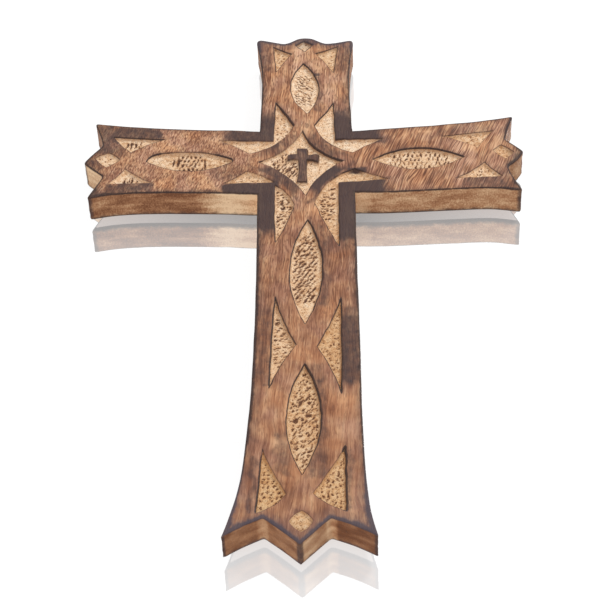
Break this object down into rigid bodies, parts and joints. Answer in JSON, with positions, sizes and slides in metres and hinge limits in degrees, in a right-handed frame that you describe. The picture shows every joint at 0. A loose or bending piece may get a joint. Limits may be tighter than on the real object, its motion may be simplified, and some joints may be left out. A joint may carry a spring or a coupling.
{
  "type": "wall cross",
  "caption": "Carved wooden wall cross with flared, notched ends, recessed ornament on its front and a swinging hanging ring let into its back.",
  "frame": {"origin": "middle of the back's outline, on the plane that the back rests on", "axes": "+Z out of the carved front, +Y towards the top of the cross, +X to the right as seen from the front"},
  "size_m": [0.1926, 0.305, 0.0135],
  "materials": {
    "wood_upright": "hand-carved, scorched and waxed, pale punched grounds in the recesses",
    "wood_arms": "hand-carved, scorched and waxed, pale punched grounds in the recesses",
    "wood_dowels": "plain fluted dowel",
    "steel_strap": "zinc-plated sheet",
    "steel_ring": "zinc-plated wire",
    "steel_screws": "zinc-plated"
  },
  "bodies": {
    "cross": {"upright": "wood_upright", "left_arm": "wood_arms", "right_arm": "wood_arms", "left_upper_dowel": "wood_dowels", "left_lower_dowel": "wood_dowels", "right_upper_dowel": "wood_dowels", "right_lower_dowel": "wood_dowels", "hanger_strap": "steel_strap", "hanger_screw_1": "steel_screws", "hanger_screw_2": "steel_screws"},
    "ring": {"hanging_ring": "steel_ring"}
  },
  "joints": [
    {"name": "ring_swing", "type": "hinge", "parent": "cross", "child": "ring", "pos_m": [0, 0.1195, 0.0025], "axis": [-1, 0, 0], "range_deg": [0, 165]}
  ]
}
